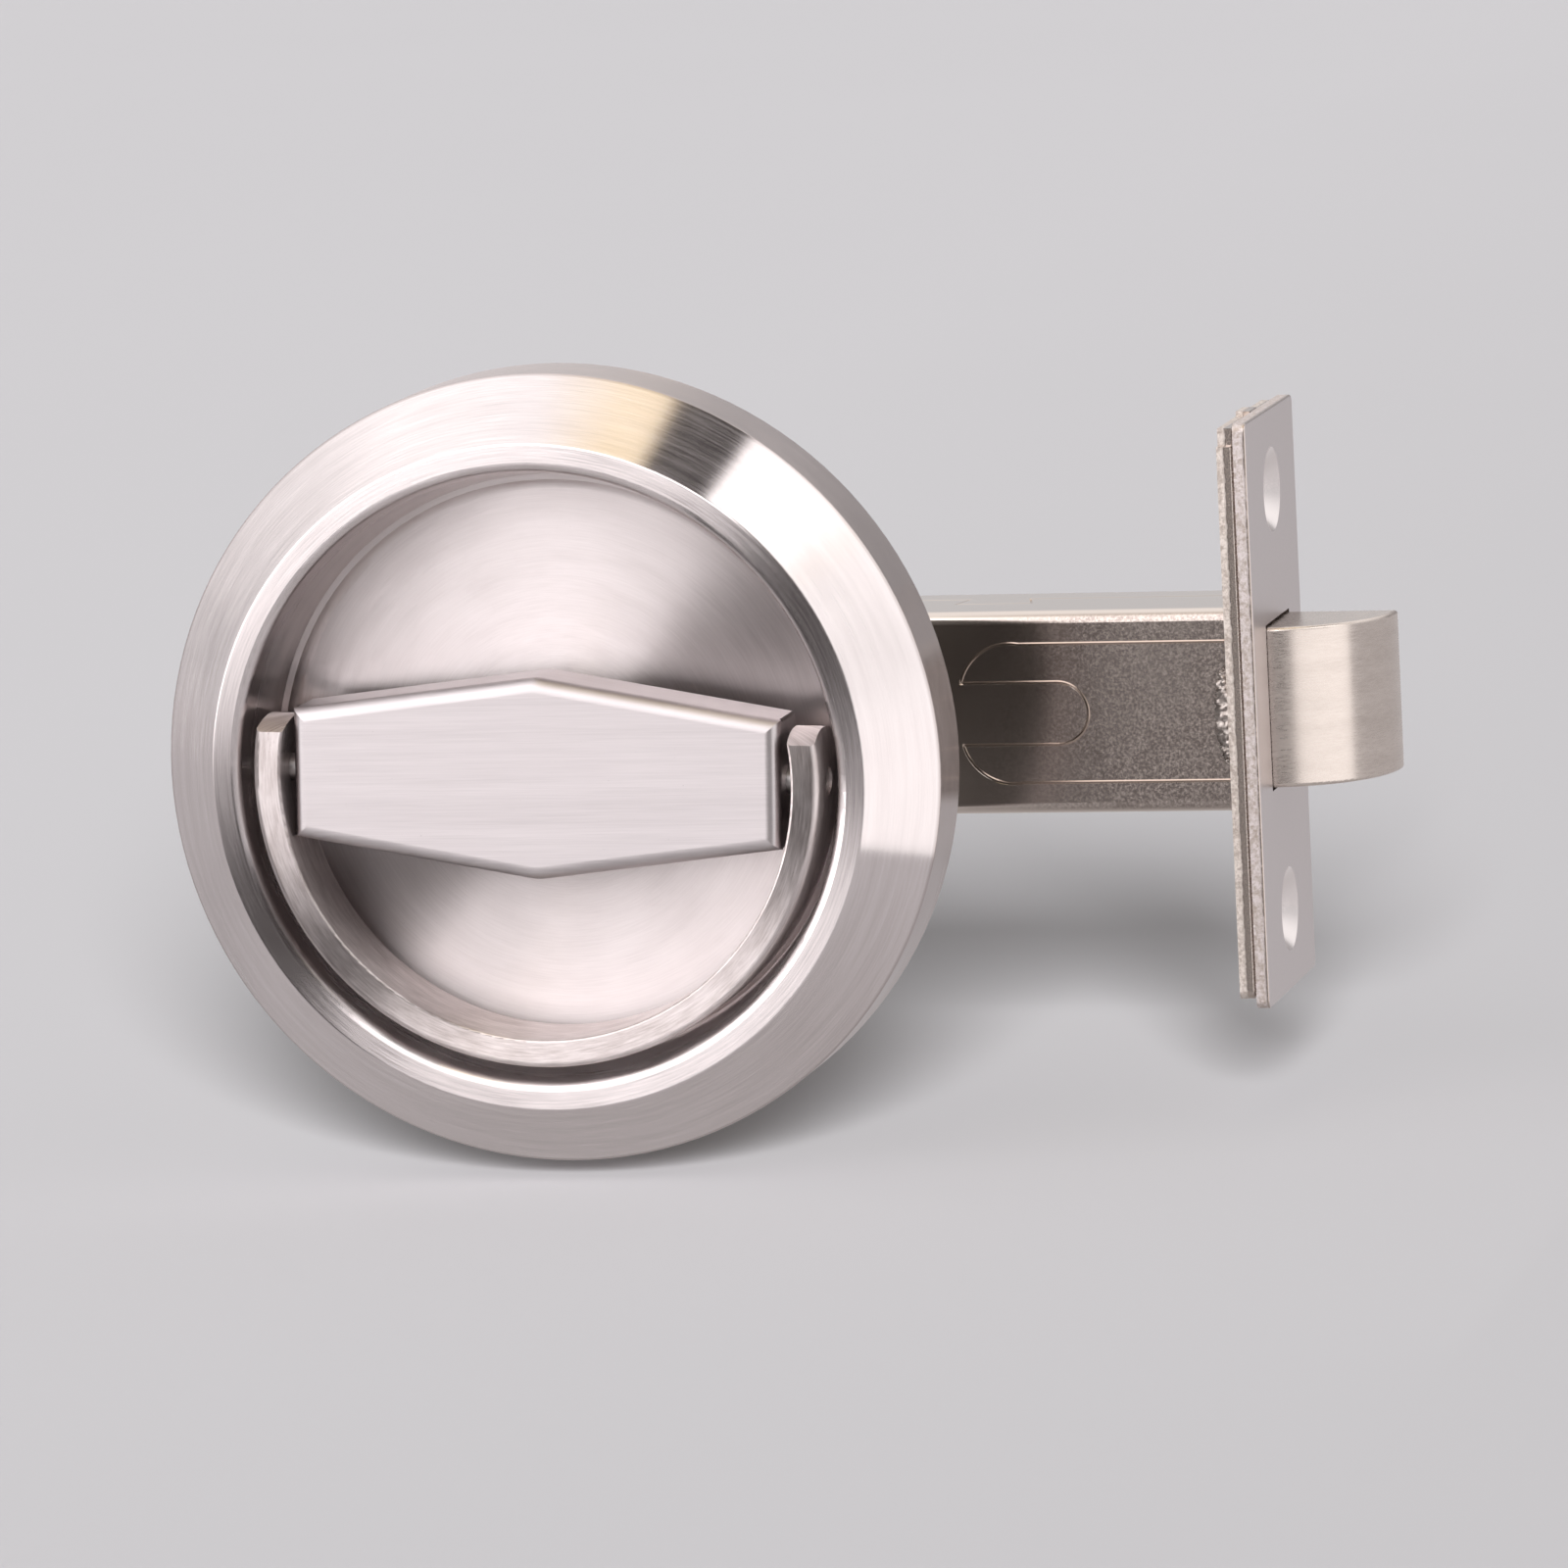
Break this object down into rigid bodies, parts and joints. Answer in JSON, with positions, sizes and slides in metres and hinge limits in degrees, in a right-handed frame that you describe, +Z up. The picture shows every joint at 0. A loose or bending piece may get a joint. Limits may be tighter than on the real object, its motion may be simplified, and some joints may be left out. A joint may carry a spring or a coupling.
{
  "type": "concealed door lock",
  "caption": "Round flush rose with a sunk turning grip and fold-out ring pull, whose square spindle draws back a spring latch with a curved bolt and faceplate.",
  "frame": {"origin": "on the spindle axis, in the plane of the door's face, midway between the two tapped posts", "axes": "+X towards the latch's faceplate, +Y into the door along the spindle, +Z up"},
  "size_m": [0.1181, 0.0595, 0.08],
  "materials": {
    "brushed_steel_turned": "circular brushed stainless steel",
    "brushed_steel_sheet": "straight brushed stainless steel",
    "brushed_steel_bail": "brushed stainless steel, worn along its edges",
    "brushed_steel_plate": "fine straight brushed stainless steel",
    "satin_nickel": "satin nickel",
    "nickel_plate": "bright nickel plate over folded sheet",
    "stamped_plate": "nickel plate with a sheared edge",
    "plated_steel": "zinc plated steel",
    "spring_steel": "blued spring steel",
    "pin_steel": "ground steel",
    "cast_zinc": "die-cast zinc",
    "bush_brass": "turned brass"
  },
  "bodies": {
    "lock_body": {"rose": "brushed_steel_turned", "base_plate": "plated_steel", "post_upper": "plated_steel", "post_lower": "plated_steel", "spindle_bush": "bush_brass", "latch_case": "nickel_plate", "rear_plate": "stamped_plate", "front_plate": "brushed_steel_plate", "spring_guide": "plated_steel", "bolt_spring": "spring_steel"},
    "grip": {"grip_cover": "brushed_steel_sheet", "grip_block": "cast_zinc", "pivot_pin_left": "pin_steel", "pivot_pin_right": "pin_steel", "thrust_washer": "spring_steel", "neck_circlip": "spring_steel", "spindle": "pin_steel", "spindle_pin": "pin_steel", "follower_hub": "cast_zinc"},
    "bail": {"bail": "brushed_steel_bail"},
    "bolt": {"latch_bolt": "satin_nickel", "bolt_stem": "plated_steel", "stem_pin": "pin_steel", "retractor": "cast_zinc", "retractor_pin": "pin_steel"}
  },
  "joints": [
    {"name": "grip_turn", "type": "hinge", "parent": "lock_body", "child": "grip", "pos_m": [0, 0, 0], "axis": [0, -1, 0], "range_deg": [0, 85]},
    {"name": "bail_fold", "type": "hinge", "parent": "grip", "child": "bail", "pos_m": [0, -0.0114, 0], "axis": [-0.9993, 0, 0.0384], "range_deg": [0, 90]},
    {"name": "bolt_slide", "type": "slide", "parent": "lock_body", "child": "bolt", "axis": [-1, 0, 0], "range_m": [0, 0.01101], "stiffness_N_per_m": 40, "springref_m": -0.006, "deforming": ["bolt_spring"]}
  ],
  "couplings": [
    {"joint": "bolt_slide", "follows": "grip_turn", "m_per_rad": 0.007415}
  ]
}
